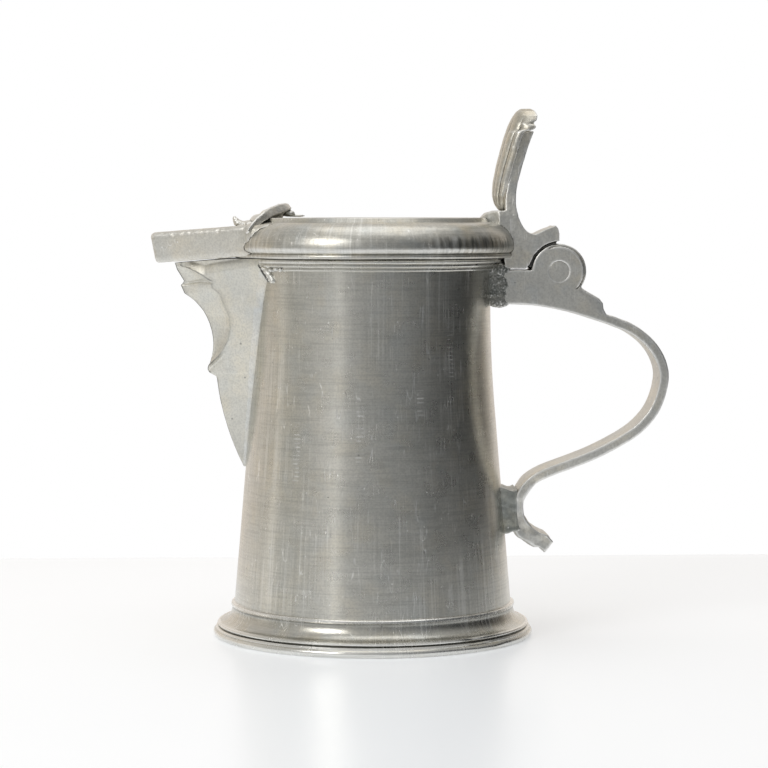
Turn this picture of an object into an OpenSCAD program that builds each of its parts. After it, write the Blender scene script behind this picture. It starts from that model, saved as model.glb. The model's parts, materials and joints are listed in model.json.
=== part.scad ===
// Lidded pewter measure: a tapered drum on a moulded foot, with a V-shaped beak, a strap handle and
// a hinged lid whose own cover closes the beak.
// Millimetres, +Z up, +X towards the handle. The origin is on the drum's axis, in the plane it rests on.

/* [Drum] */
// Outer radius where the wall stands upright, near the mouth
waist_r = 44.3; // [43.8:0.1:44.8]
// Height at which the wall stands upright
waist_z = 128; // [126:0.5:132]
// Height at which the straight taper turns into the curved neck
neck_z = 85; // [80:0.5:90]
// Slope of the straight taper, in degrees
taper = 4.83; // [4.6:0.01:5]
// Height of the drum's bottom edge above the table
drum_bottom_z = 5; // [4.5:0.1:5.5]
// Height of the mouth
mouth_z = 142.1; // [141.9:0.1:142.1]
// Thickness of the drum's wall
wall = 2; // [1.6:0.1:2.2]

/* [Foot] */
// Radius of the foot at its lower bead
foot_r = 60.4; // [59.8:0.1:61]
// Height of the foot moulding
foot_h = 12.9; // [12.5:0.1:13.5]
// Thickness of the bottom plate
plate_t = 2; // [1.5:0.1:3]

/* [Strainer] */
// Rows of holes behind the beak, one hole more in each row upwards
strainer_rows = 5; // [3:1:5]
// Diameter of a strainer hole
strainer_d = 3.6; // [2.5:0.1:3.8]
// Spacing of the holes
strainer_pitch = 6.5; // [6:0.1:6.6]

/* [Beak] */
// Height of the beak's lower point on the drum
beak_point_z = 63.6; // [60:0.1:66]
// Half of the angle that the beak spans at the mouth
beak_half_angle = 27.5; // [26:0.1:28]
// Distance of the beak's lip from the drum's axis
beak_reach = 73.4; // [72.5:0.1:74]
// Thickness of the beak's side walls
beak_wall = 1.9; // [1.6:0.1:2.2]

/* [Lid] */
// Largest radius of the lid
lid_r = 53.2; // [53:0.1:53.6]
// Running gap between the closed lid and the mouth
lid_gap = 0.3; // [0.3:0.05:0.4]
// Width of the rounded shoulder
shoulder_w = 9.7; // [9:0.1:10]
// Height of the rounded shoulder
shoulder_h = 9.3; // [9:0.1:9.5]
// Height of the low platform on top
platform_h = 1.7; // [1.2:0.1:1.9]
// Thickness of the lid
lid_t = 1.8; // [1.6:0.1:2]

/* [Beak cover] */
// Distance of the cover's tip from the drum's axis
cover_reach = 83.2; // [82:0.1:84]
// Height of the cover's tip above the table
cover_tip_z = 151.5; // [151:0.1:152]
// Depth of the cover
cover_h = 11.4; // [11:0.1:11.6]
// Half-width of the cover's blunt tip
cover_tip_w = 4.6; // [4:0.1:6]
// Angle of each side from the middle, in degrees
cover_spread = 29.5; // [28:0.5:31]
// Upward slope of the cover towards the lid, in degrees
cover_slope = 4.5; // [4.2:0.1:5]

/* [Hinge] */
// Distance of the hinge pin from the drum's axis
hinge_x = 69.6; // [69:0.1:70]
// Height of the hinge pin
hinge_z = 137.2; // [137:0.1:137.4]
// Radius of the two cheeks
cheek_r = 10.2; // [9.8:0.1:10.4]
// Width of the middle knuckle
knuckle_w = 7.6; // [6:0.1:8]
// Diameter of the pin
pin_d = 4.4; // [3.5:0.1:5]
// Running clearance round the pin in the middle knuckle
pin_play = 0.05; // [0.02:0.01:0.1]
// Radius of the plugs that close the pin hole
plug_r = 3.6; // [3:0.1:4]

/* [Handle] */
// Width of the strap, and of the hinge over it
strap_w = 18; // [16:0.5:20]
// Thickness of the strap
strap_t = 3.6; // [3:0.1:4]

/* [Thumbpiece] */
// Number of flutes on the front
flutes = 7; // [5:2:9]
// Depth of the flutes, as a share of the thumbpiece's depth
flute_depth = 0.11; // [0:0.01:0.15]

/* [Hidden] */
$fn = 128;

// Colours of the cast, turned and soldered metal
cast_grey = [0.70, 0.70, 0.67];
turned_grey = [0.60, 0.61, 0.59];
solder_grey = [0.48, 0.49, 0.48];

far = 300; // larger than anything in the model
collar_z = 136; // the drum is a plain cylinder above this height, under the mouth ring
neck_r = (waist_z - neck_z) / sin(taper);
lid_z = mouth_z + lid_gap;
shoulder_z = lid_z + 3.8;
lid_top_z = shoulder_z + shoulder_h + platform_h;
platform_r = lid_r - shoulder_w - 0.3;
slot_w = knuckle_w + 0.6;
solder_t = 1.2;
plug_t = 1.2;
bracket_gap = 1; // between the cheeks and the lid's arm round them

// Outer radius of the drum at height z: a cone, then an arc, then the plain collar
function arc_r(z) = waist_r + neck_r - sqrt(pow(neck_r, 2) - pow(waist_z - z, 2));
function drum_r(z) = z < neck_z ? arc_r(neck_z) + (neck_z - z) * tan(taper) : arc_r(min(z, collar_z));

function reversed(p) = [for (i = [len(p) - 1:-1:0]) p[i]];
function arc(c, r, a0, a1, n) = [for (i = [0:n]) let (a = a0 + (a1 - a0) * i / n) c + r * [cos(a), sin(a)]];
function ellipse(c, rx, rz, a0, a1, n) =
    [for (i = [0:n]) let (a = a0 + (a1 - a0) * i / n) c + [rx * cos(a), rz * sin(a)]];

// A smooth curve through the points p, with n steps between two points
function blend(a, b, c, d, t) =
    b + (c - a) * t / 2 + (a - 2.5 * b + 2 * c - d / 2) * t * t + (1.5 * b - 1.5 * c + (d - a) / 2) * pow(t, 3);
function smooth(p, n) = let (last = len(p) - 1) concat(
    [for (i = [0:last - 1], k = [0:n - 1])
        blend(p[max(i - 1, 0)], p[i], p[i + 1], p[min(i + 2, last)], k / n)],
    [p[last]]
);

// The edge of a band of width w that follows p, on the side s
function heading(p, i) = let (d = p[min(i + 1, len(p) - 1)] - p[max(i - 1, 0)]) d / norm(d);
function band_edge(p, w, s) =
    [for (i = [0:len(p) - 1]) let (t = heading(p, i)) p[i] + s * w / 2 * [-t[1], t[0]]];

// A drawing in the XZ plane, extruded across the object
module upright(w) {
    rotate([90, 0, 0]) linear_extrude(height = w, center = true) children();
}

module at_hinge() {
    translate([hinge_x, 0, hinge_z]) rotate([90, 0, 0]) children();
}

// Side of the drum from z0 to z1, moved outwards by grow
function drum_side(grow, z0, z1) = concat(
    [[drum_r(z0) + grow, z0]],
    [for (i = [0:8]) let (z = neck_z + (collar_z - neck_z) * i / 8) [drum_r(z) + grow, z]],
    [[drum_r(z1) + grow, z1]]
);

// The drum as a solid, for pieces that fit against it
module drum_solid(grow = 0) {
    rotate_extrude() polygon(concat([[0, 0]], drum_side(grow, 0, mouth_z + 5), [[0, mouth_z + 5]]));
}

module strainer_holes() {
    for (row = [0:strainer_rows - 1], hole = [0:row]) {
        z = 105 + row * strainer_pitch;
        angle = asin((hole - row / 2) * strainer_pitch / drum_r(z));
        rotate([0, 0, 180 + angle]) translate([waist_r - 6, 0, z]) rotate([0, 90, 0])
            cylinder(d = strainer_d, h = 12, $fn = 32);
    }
}

module drum() {
    color(turned_grey) difference() {
        rotate_extrude() polygon(concat(
            drum_side(0, drum_bottom_z, mouth_z), reversed(drum_side(-wall, drum_bottom_z, mouth_z))
        ));
        strainer_holes();
    }
}

module base_plate() {
    color(turned_grey) translate([0, 0, drum_bottom_z]) cylinder(
        h = plate_t, r1 = drum_r(drum_bottom_z) - wall, r2 = drum_r(drum_bottom_z + plate_t) - wall
    );
}

// Foot from the table upwards: a bead, a groove, a fillet, a hollow curve and a small bead
module foot_ring() {
    inner_r = drum_r(drum_bottom_z) - wall - 1.4;
    color(turned_grey) rotate_extrude() polygon(concat(
        [[foot_r - 3.2, 0], [foot_r - 1.2, 0]],
        arc([foot_r - 1.4, 1.9], 1.4, -50, 70, 6),
        [[foot_r - 1.9, 3.5], [foot_r - 2, 4.1], [foot_r - 1.9, 4.3], [foot_r - 2.1, 5]],
        ellipse([foot_r - 2.6, 11.2], 4.7, 5.8, 268, 184, 8),
        [[foot_r - 7.2, 11.2], [drum_r(12) + 1, 11.5], [drum_r(12) + 1.1, 12], [drum_r(12) + 0.7, 12.5]],
        [[drum_r(foot_h), foot_h], [drum_r(drum_bottom_z), drum_bottom_z]],
        [[inner_r, drum_bottom_z], [inner_r, 3], [foot_r - 5.4, 3], [foot_r - 3.6, 1.8]]
    ));
}

// Mouth moulding, open at the beak
module mouth_ring() {
    collar_r = drum_r(mouth_z);
    open = beak_half_angle - 2;
    color(turned_grey) difference() {
        rotate([0, 0, 180 + open]) rotate_extrude(angle = 360 - 2 * open) polygon([
            [collar_r, 137.8], [collar_r + 0.7, 138.1], [collar_r + 0.7, 138.9], [collar_r + 2, 139.2],
            [collar_r + 2.4, 139.6], [collar_r + 2.4, 140.2], [collar_r + 3.7, 140.4],
            [collar_r + 4.3, 140.9], [collar_r + 4.3, 141.7], [collar_r + 3.9, mouth_z],
            [collar_r, mouth_z],
        ]);
        beak_solid(-1);
        beak_solid(1);
    }
}

// Edge of the beak from the lip down to its point: a short facet, a spur, a deep scallop, a second spur
// and a long tail
beak_keel = concat(
    [[-beak_reach - 0.8, 143], [-beak_reach, 139.8], [-70.6, 134.4], [-72, 132.3]],
    arc([-81.5, 110.2], 21.6, 60, -23, 8),
    [[-62, 99.6], [-58.8, 97.6]],
    arc([42.3, 108.9], 101.6, 187, 206.5, 6)
);

// Angle from the beak's middle to its joint with the drum, which closes to nothing at the lower point
function joint_angle(z) = 0.7 + (beak_half_angle - 0.7) * pow(max((z - beak_point_z) / (140 - beak_point_z), 0), 1.5);
function joint_at(z, r, side) = let (a = joint_angle(z)) [-r * cos(a), side * r * sin(a), z];

// One level of the beak: its edge, a point on its side, its joint inside the drum, and the drum's middle
function beak_side(k, side) = let (j = joint_at(k[1], drum_r(k[1]), side))
    [k[0] + 0.4 * (j[0] - k[0]), 0.5 * j[1], k[1]];
function beak_level(k, side) =
    [[k[0], 0, k[1]], beak_side(k, side), joint_at(k[1], waist_r - 2, side), [-waist_r + 6, 0, k[1]]];

// The same level of the hollow inside, which runs past the middle so that the two halves meet
function thinner(y, side) = side * max(abs(y) - beak_wall * 1.15, 0.4);
function hollow_level(k, side) = let (m = beak_side(k, side), j = joint_at(k[1], waist_r - 2, side)) [
    [k[0] + 2.7, -side, k[1]],
    [k[0] + 2.7, 0, k[1]],
    [m[0] + 1, thinner(m[1], side), k[1]],
    [j[0], thinner(j[1], side), k[1]],
    [-waist_r + 6, -side, k[1]],
];

// A solid through levels, one above the other, that have the same number of points
function turn(level) = let (n = len(level))
    [for (k = [0:n - 1]) cross([level[k][0], level[k][1]], [level[(k + 1) % n][0], level[(k + 1) % n][1]])]
    * [for (k = [0:n - 1]) 1];
module stack(levels) {
    n = len(levels[0]);
    m = len(levels);
    rising = levels[m - 1][0][2] > levels[0][0][2] ? 1 : -1;
    points = [for (level = levels, p = level) p];
    walls = [for (i = [0:m - 2], k = [0:n - 1]) let (a = i * n + k, b = i * n + (k + 1) % n)
        each [[a, b, b + n], [a, b + n, a + n]]];
    faces = concat([[for (k = [n - 1:-1:0]) k]], walls, [[for (k = [0:n - 1]) (m - 1) * n + k]]);
    polyhedron(points, rising * turn(levels[0]) > 0 ? [for (f = faces) reversed(f)] : faces);
}

module beak_solid(side) {
    stack([for (k = beak_keel) beak_level(k, side)]);
}

// Everything above the rim of the beak, which lies just under the cover
module above_beak() {
    translate([-cover_reach, 0, cover_tip_z - cover_h - 0.45]) rotate([0, -cover_slope, 0])
        translate([-20, -far / 2, 0]) cube([far, far, 60]);
    translate([-far / 2, -far / 2, mouth_z - 0.1]) cube([far, far, 60]);
}

module beak_half(side) {
    color(cast_grey) difference() {
        beak_solid(side);
        stack([for (k = beak_keel) if (k[1] > 98.5) hollow_level(k, side)]);
        above_beak();
        drum_solid();
    }
}

module beak_left() {
    beak_half(-1);
}

module beak_right() {
    beak_half(1);
}

// Fillet of solder in the corner between one half of the beak and the drum
function solder_level(z, side) = let (
    r = drum_r(z), size = 0.4 + 2.2 * (z - beak_point_z) / 70, clear = 0.02,
    j = joint_at(z, r + clear, side), out = joint_at(z, r + size, side), a = joint_angle(z) + size * 180 / PI / r
) [
    [j[0], j[1] + side * clear, z],
    [-(r + clear) * cos(a), side * (r + clear) * sin(a), z],
    [out[0] - size * 0.35, j[1] + side * 0.12 * size, z],
];

module beak_solder(side) {
    color(solder_grey) difference() {
        stack([for (i = [0:11]) solder_level(137.6 - i * 5.9, side)]);
        beak_solid(side);
    }
}

module beak_solder_left() {
    beak_solder(-1);
}

module beak_solder_right() {
    beak_solder(1);
}

// Middle line of the strap, from under the hinge round to the drum
strap_line = smooth([
    [89.6, 118.6], [92.6, 117.4], [96.3, 115.9], [100.7, 113], [104.2, 109.8], [107, 105.9], [108.9, 101.3],
    [109.4, 97], [108.6, 92], [106.9, 87], [104.2, 82.4], [99, 77.1], [90.6, 71.9], [82, 67.7],
    [73.4, 64.4], [64.6, 61.1], [58.9, 57.6], [55.7, 53.2], [54.6, 48.6], [55.2, 44.5],
], 3);

// Underside of the block between the drum and the hinge, the hoof at the lower end, and the step over the strap
block_edge = smooth([[40, 124.9], [55.7, 124.7], [65.1, 123.6], [74.5, 121.5], [82, 119.2]], 3);
hoof_edge = [
    [52.9, 39.6], [54.2, 37.2], [57.9, 35], [60.5, 33.3], [62.4, 33.2], [64.5, 31.2], [67.9, 35.3],
    [65.7, 37.9], [62.2, 39.2], [60, 40.8], [58.3, 42.8],
];
step_edge = [[87.4, 121], [86.4, 123], [86.2, 125.2], [84.8, 127], [82, 128.6], [79.2, 130.2]];

module handle_outline() {
    polygon(concat(
        block_edge, band_edge(strap_line, strap_t, -1), hoof_edge, reversed(band_edge(strap_line, strap_t, 1)),
        step_edge, [[hinge_x, hinge_z], [hinge_x - cheek_r, hinge_z + 0.4], [40, hinge_z + 0.4]]
    ));
    translate([hinge_x, hinge_z]) circle(r = cheek_r);
}

module handle() {
    color(cast_grey) difference() {
        upright(strap_w) handle_outline();
        drum_solid(solder_t);
        at_hinge() cylinder(r = cheek_r + 0.3, h = slot_w, center = true);
        at_hinge() cylinder(d = pin_d, h = far, center = true);
        for (side = [-1, 1])
            at_hinge() translate([0, 0, side * strap_w / 2]) cylinder(r = plug_r, h = 2 * plug_t, center = true);
    }
}

// Solder patch between the handle's upper end and the drum
module upper_solder() {
    color(solder_grey) difference() {
        intersection() {
            drum_solid(solder_t);
            upright(strap_w + 1.6)
                polygon([[40, 124], [48, 124], [50, 125], [50, 137.2], [40, 137.2]]);
        }
        drum_solid();
    }
}

// Solder pad between the lower end of the strap and the drum
module lower_solder() {
    color(solder_grey) difference() {
        upright(strap_w - 3) polygon([[47, 39], [52.4, 38.6], [56, 42], [56.5, 52], [53.4, 55.3], [47, 55.2]]);
        drum_solid();
        upright(strap_w) handle_outline();
    }
}

module hinge_pin() {
    color(turned_grey) at_hinge() cylinder(d = pin_d, h = strap_w - 2 * plug_t, center = true);
}

module pin_plug(side) {
    color(cast_grey) at_hinge() translate([0, 0, side * (strap_w - plug_t) / 2])
        cylinder(r = plug_r, h = plug_t, center = true);
}

module pin_plug_near() {
    pin_plug(1);
}

module pin_plug_far() {
    pin_plug(-1);
}

// Outline of the lid: a small bead at the lip, a rounded shoulder and a low platform
lid_outline = concat(
    [[0, lid_z], [lid_r - 1.4, lid_z], [lid_r - 0.9, lid_z + 0.4], [lid_r - 0.9, lid_z + 1.3]],
    [[lid_r - 1.3, lid_z + 1.7], [lid_r - 0.8, lid_z + 2], [lid_r - 0.2, lid_z + 2.9]],
    ellipse([lid_r - shoulder_w, shoulder_z], shoulder_w, shoulder_h, 0, 90, 9),
    [[platform_r, lid_top_z - platform_h], [platform_r, lid_top_z - 0.3], [platform_r - 0.4, lid_top_z]],
    [[0, lid_top_z]]
);

module lid_solid() {
    rotate_extrude() polygon(lid_outline);
}

module lid_hollow() {
    rotate_extrude() polygon(concat(
        [[0, lid_z - 1], [lid_r - 3.2, lid_z - 1], [lid_r - 3.2, lid_z + 1.6]],
        ellipse([lid_r - shoulder_w, shoulder_z], shoulder_w - lid_t, shoulder_h - lid_t, 0, 90, 9),
        [[platform_r - 2, lid_top_z - lid_t], [0, lid_top_z - lid_t]]
    ));
}

module lid_shell() {
    color(turned_grey) difference() {
        lid_solid();
        lid_hollow();
    }
}

// Seat that rests on the mouth, with a short flange that keeps the lid centred
module lid_bezel() {
    flange_r = drum_r(mouth_z) - wall - 1.2;
    color(turned_grey) rotate_extrude() polygon([
        [flange_r - 1.5, lid_z - 3], [flange_r, lid_z - 3], [flange_r, lid_z], [lid_r - 3.2, lid_z],
        [lid_r - 3.2, lid_z + 1.6], [flange_r - 1.5, lid_z + 1.6],
    ]);
}

// Plan of the cover from its tip towards the lid, moved inwards by inset
function cover_plan(inset) = let (
    corner = 2.2, w = cover_tip_w - inset, end_x = 46,
    side = [for (a = [0:15:90 - cover_spread]) [inset + corner * (1 - cos(a)), w - corner * (1 - sin(a))]]
) concat(
    side, [[end_x, w + (end_x - inset) * tan(cover_spread)]],
    reversed([for (p = concat(side, [[end_x, w + (end_x - inset) * tan(cover_spread)]])) [p[0], -p[1]]])
);

module cover_slab(inset, z) {
    translate([0, 0, z]) linear_extrude(height = 0.05) polygon(cover_plan(inset));
}

// The cover as a solid that grows by grow, tapering a little downwards and rounded along its top
module cover_solid(grow = 0) {
    translate([-cover_reach, 0, cover_tip_z]) rotate([0, -cover_slope, 0]) hull() {
        cover_slab(1.4 - grow, -0.05 + grow);
        cover_slab(0.4 - grow, -0.5 + grow);
        cover_slab(0 - grow, -1.8);
        cover_slab(0.9 - grow, -cover_h + 1);
        cover_slab(1.6 - grow, -cover_h);
    }
}

module cover_hollow() {
    translate([-cover_reach, 0, cover_tip_z]) rotate([0, -cover_slope, 0]) hull() {
        cover_slab(2.4, -2);
        cover_slab(3.4, -cover_h - 1);
    }
}

module beak_cover() {
    color(cast_grey) difference() {
        cover_solid();
        cover_hollow();
        lid_solid();
    }
}

// Scalloped plan of the leaf over the joint between the lid and the cover
module leaf_plan() {
    translate([-46.5, 0]) circle(r = 5.8);
    translate([-38, 0]) circle(r = 7.5);
    for (side = [-1, 1]) {
        translate([-40.5, side * 8.5]) circle(r = 5.6);
        translate([-43.4, side * 16]) circle(r = 4.6);
        translate([-45.4, side * 21.4]) circle(r = 2.8);
    }
}

module cover_leaf() {
    leaf_t = 1.6;
    color(cast_grey) difference() {
        intersection() {
            translate([0, 0, 150]) linear_extrude(height = 15) leaf_plan();
            union() {
                translate([0, 0, leaf_t]) lid_solid();
                rotate_extrude() polygon(concat([[0, 147]], ellipse(
                    [lid_r - shoulder_w, shoulder_z], shoulder_w + leaf_t, shoulder_h + leaf_t, 5, 90, 9
                ), [[0, 157]]));
                cover_solid(leaf_t);
                translate([-37, 0, 142.5]) sphere(r = 19);
            }
        }
        lid_solid();
        cover_solid();
    }
}

// Height, front, back and half-width of the thumbpiece, which leans on the stem up to stem_top
stem_top = 189.4;
thumb_levels = [
    [160.2, 47.2, 49.4, 2.6], [162.4, 45.9, 49.3, 4.2], [165.6, 45.1, 49.5, 6], [170.5, 45.4, 50.6, 7.4],
    [176.2, 46.5, 52.1, 8.4], [181.8, 48, 53.7, 9.1], [186.6, 49.3, 55.1, 9.6], [stem_top, 50.3, 56, 9.7],
    [190, 50.5, 61, 9.7], [191.4, 51, 60.9, 9.5], [192.2, 51.3, 60.2, 9.3], [194.4, 52.3, 61.1, 8.2],
    [196.6, 53.5, 60.7, 6], [198, 55.4, 59, 2.6],
];

module bracket_outline() {
    gap_r = cheek_r + bracket_gap;
    polygon(concat(
        [[49.4, 159.8]],
        [for (t = thumb_levels) if (t[0] <= stem_top) [t[2], t[0]]],
        smooth([[60.2, stem_top], [56.4, 178.7], [53.8, 168.2], [53.6, 160.1], [56.3, 153.2], [60.2, 151.1],
            [64.2, 152.8], [68.1, 154.3]], 3),
        [[69.2, 153.2], [69.6, 151.5]],
        arc([hinge_x, hinge_z], gap_r, 90, 165, 8),
        [[57.2, hinge_z + 1], [49.3, hinge_z + 1], [47.5, 150], [40.4, 152]],
        [[40.6, 157.4], [42.4, 158.9], [45.6, 159.8]]
    ));
}

// Middle knuckle and the web that joins it to the arm
module bracket_knuckle() {
    at_hinge() cylinder(r = cheek_r - 0.6, h = knuckle_w, center = true);
    upright(knuckle_w) polygon(concat(
        [[hinge_x, hinge_z - 2], [58.2, hinge_z + 1.4]],
        arc([hinge_x, hinge_z], cheek_r + bracket_gap + 0.8, 165, 93, 6)
    ));
}

module hinge_bracket() {
    half = strap_w / 2;
    color(cast_grey) difference() {
        union() {
            intersection() {
                upright(strap_w) bracket_outline();
                // Plan: the pad narrows to a leaf tip on the lid
                translate([0, 0, 100]) linear_extrude(height = 120) polygon([
                    [40, -2], [42.5, -5.5], [47, -half], [90, -half], [90, half], [47, half], [42.5, 5.5],
                    [40, 2],
                ]);
                // Front view: the stem narrows upwards
                rotate([90, 0, 90]) linear_extrude(height = far) polygon([
                    [-half, 100], [half, 100], [half, 158], [half - 1.5, 166], [half - 3, 190],
                    [3 - half, 190], [1.5 - half, 166], [-half, 158],
                ]);
            }
            bracket_knuckle();
        }
        lid_solid();
        at_hinge() cylinder(r = pin_d / 2 + pin_play, h = far, center = true);
    }
}

// One level of the thumbpiece: a fluted half round in front of a flat back
function thumb_level(t) = let (depth = t[2] - t[1], steps = 6 * flutes) concat(
    [for (i = [0:steps]) let (a = -90 + 180 * i / steps, ripple = 1 - flute_depth * (1 - abs(cos(flutes * a))))
        [t[2] - depth * cos(a) * ripple, -t[3] * sin(a) * ripple, t[0]]]
);

module thumbpiece() {
    color(cast_grey) stack([for (t = thumb_levels) thumb_level(t)]);
}

drum();
base_plate();
foot_ring();
mouth_ring();
beak_left();
beak_right();
beak_solder_left();
beak_solder_right();
handle();
upper_solder();
lower_solder();
hinge_pin();
pin_plug_near();
pin_plug_far();
lid_shell();
lid_bezel();
beak_cover();
cover_leaf();
hinge_bracket();
thumbpiece();
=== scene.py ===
"""A lidded pewter measure in soft studio light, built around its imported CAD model.

Shapes are worked out in millimetres, in the model's own frame, and written to Blender in metres.
Turned pieces are lathed again with a worn surface. Cast pieces are built anew, or remeshed from the CAD
solid, with eased edges and an uneven skin, so that every visible surface has the faults of old pewter.
"""

import json
import math

import bpy
import numpy as np
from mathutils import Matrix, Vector, noise


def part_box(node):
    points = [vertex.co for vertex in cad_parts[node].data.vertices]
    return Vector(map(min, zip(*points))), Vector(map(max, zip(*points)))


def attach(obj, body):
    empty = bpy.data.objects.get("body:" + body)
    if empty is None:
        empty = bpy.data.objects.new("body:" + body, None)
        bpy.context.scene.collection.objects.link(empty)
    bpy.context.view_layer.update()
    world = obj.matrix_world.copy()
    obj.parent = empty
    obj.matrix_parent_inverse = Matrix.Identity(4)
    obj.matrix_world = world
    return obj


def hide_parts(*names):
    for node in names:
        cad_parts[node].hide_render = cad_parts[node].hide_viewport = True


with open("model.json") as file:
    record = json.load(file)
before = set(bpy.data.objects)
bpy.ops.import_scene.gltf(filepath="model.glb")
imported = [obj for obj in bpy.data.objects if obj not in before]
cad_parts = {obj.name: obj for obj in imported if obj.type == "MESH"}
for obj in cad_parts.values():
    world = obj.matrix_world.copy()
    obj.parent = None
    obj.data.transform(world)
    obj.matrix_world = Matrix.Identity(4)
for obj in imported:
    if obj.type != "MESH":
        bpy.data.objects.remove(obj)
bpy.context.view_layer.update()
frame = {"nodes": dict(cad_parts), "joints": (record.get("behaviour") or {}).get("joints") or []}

MM = 0.001


def node_box(node):
    """Lowest and highest corner of a CAD node, in millimetres."""
    low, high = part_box(node)
    return np.array(low) / MM, np.array(high) / MM


# ---------------- sizes, in millimetres
DRUM_LOW, DRUM_TOP = node_box("drum")
LID_LOW, LID_TOP = node_box("lid_shell")
FOOT_R = node_box("foot_ring")[1][0]
COVER_FRONT = node_box("beak_cover")[0][0]
HINGE = np.array(frame["joints"][0]["pos_m"]) / MM

MOUTH_Z = DRUM_TOP[2]
LID_R = LID_TOP[0]
LID_Z = LID_LOW[2]
WALL = 2.0
WAIST_R, WAIST_Z = 44.3, 128.0  # the drum's narrowest place
NECK_Z, TAPER = 85.0, math.radians(4.83)  # where the straight taper turns into the curved neck
NECK_R = (WAIST_Z - NECK_Z) / math.sin(TAPER)
COLLAR_Z = 136.0


def drum_r(z):
    """Outer radius of the drum at height z."""
    z = min(z, COLLAR_Z)
    if z < NECK_Z:
        return drum_r(NECK_Z) + (NECK_Z - z) * math.tan(TAPER)
    return WAIST_R + NECK_R - math.sqrt(NECK_R**2 - (WAIST_Z - z) ** 2)


# ---------------- mesh tools
def add_object(name, data):
    item = bpy.data.objects.new(name, data)
    bpy.context.scene.collection.objects.link(item)
    return item


def build(name, points, faces, sharp=35):
    """A mesh object from points in millimetres, smooth apart from edges sharper than the angle given."""
    mesh = bpy.data.meshes.new(name)
    mesh.from_pydata((np.asarray(points) * MM).tolist(), [], [list(f) for f in faces])
    finish_mesh(mesh, sharp)
    return add_object(name, mesh)


def finish_mesh(mesh, sharp):
    mesh.validate()
    mesh.polygons.foreach_set("use_smooth", [True] * len(mesh.polygons))
    mesh.set_sharp_from_angle(angle=math.radians(sharp))
    mesh.update()


def dress(piece, body, slot, material, *nodes):
    """Puts a finished piece on its body, with its material and the nodes that it stands for. The slot is not
    used.
    """
    piece.data.materials.clear()
    piece.data.materials.append(MATERIALS[material])
    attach(piece, body)
    if nodes:
        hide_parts(*nodes)
    return piece


def vectors(piece, field):
    out = np.empty(len(piece.data.vertices) * 3)
    piece.data.vertices.foreach_get(field, out)
    return out.reshape(-1, 3)


def coordinates(piece):
    return vectors(piece, "co") / MM


def surface(piece):
    """Place in millimetres and normal of each point."""
    return coordinates(piece), vectors(piece, "normal")


def set_coordinates(piece, co):
    piece.data.vertices.foreach_set("co", (co * MM).ravel())
    piece.data.update()


def waves(points, size, seed):
    """Smooth noise from -1 to 1 at each point, with features of about the given size in millimetres."""
    shift = Vector((seed * 17.3, seed * 5.1, seed * 9.7))
    return np.array([noise.noise(Vector(p) / size + shift) for p in points.tolist()])


def bell(distance, width):
    return np.exp(-((distance / width) ** 2))


def rise(values, start, end):
    """0 up to the start, 1 from the end on and a straight ramp between them. It may run downwards."""
    return np.clip((values - start) / (end - start), 0, 1)


def uneven(piece, *layers):
    """Moves the surface along its normals by layers of noise: (size, depth, seed) each, in millimetres."""
    co, out = surface(piece)
    for size, depth, seed in layers:
        co += out * (waves(co, size, seed) * depth)[:, None]
    set_coordinates(piece, co)


def bake(piece):
    """Applies the modifiers of a piece to its mesh."""
    graph = bpy.context.evaluated_depsgraph_get()
    mesh = bpy.data.meshes.new_from_object(piece.evaluated_get(graph))
    piece.modifiers.clear()
    piece.data = mesh


def remeshed(piece, name, voxel, ease):
    """Fuses a rough mesh, or several solids in one, into an even skin with eased edges."""
    remesh = piece.modifiers.new("remesh", "REMESH")
    remesh.mode = "VOXEL"
    remesh.voxel_size = voxel * MM
    soften = piece.modifiers.new("soften", "SMOOTH")
    soften.factor = 0.5
    soften.iterations = ease
    bake(piece)
    piece.name = name
    finish_mesh(piece.data, 180)
    return piece


def cast_from(node, name, voxel, ease):
    """A new piece from a CAD node's solid, with its edges eased as on a cast and scraped piece."""
    return remeshed(add_object(name, frame["nodes"][node].data.copy()), name, voxel, ease)


def wear_and_shade(piece, depth=0.12, rounds=6, crack_shade=None):
    """Stores how hollow each place is, for grime and painted shade in creases, and for bright worn edges.
    Negative is proud.
    """
    mesh = piece.data
    ends = np.empty(len(mesh.edges) * 2, dtype=np.int32)
    mesh.edges.foreach_get("vertices", ends)
    a, b = ends.reshape(-1, 2).T
    co = coordinates(piece)
    total, flat = len(co), co.copy()
    links = np.maximum(np.bincount(ends, minlength=total), 1)[:, None]
    for _ in range(rounds):
        sums = [np.bincount(a, flat[b, k], total) + np.bincount(b, flat[a, k], total) for k in range(3)]
        flat = np.stack(sums, axis=1) / links
    hollow = ((flat - co) * vectors(piece, "normal")).sum(axis=1) / depth
    # Painted shade in the gaps between pieces, added on top of the hollowness
    if crack_shade is not None:
        hollow = hollow + crack_shade
    attribute = mesh.attributes.new("hollow", "FLOAT", "POINT")
    attribute.data.foreach_set("value", hollow.astype(np.float32))
    return hollow


def cut(piece, cutter):
    """Takes the cutter's solid out of a piece and removes the cutter."""
    boolean = piece.modifiers.new("cut", "BOOLEAN")
    boolean.object = cutter
    boolean.operation = "DIFFERENCE"
    boolean.solver = "MANIFOLD"
    bake(piece)
    bpy.data.objects.remove(cutter)


def dense(outline, step):
    """The closed outline with its long stretches divided, so that they can be made uneven."""
    out = []
    for a, b in zip(outline, outline[1:] + outline[:1]):
        a, b = np.array(a, float), np.array(b, float)
        parts = max(1, int(np.linalg.norm(b - a) / step))
        out += [tuple(a + (b - a) * i / parts) for i in range(parts)]
    return out


def arc(centre, rx, rz, start, end, steps):
    """Points of an elliptical arc, from and to angles in degrees."""
    angles = np.radians(np.linspace(start, end, steps + 1))
    return [(centre[0] + rx * math.cos(a), centre[1] + rz * math.sin(a)) for a in angles]


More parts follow.
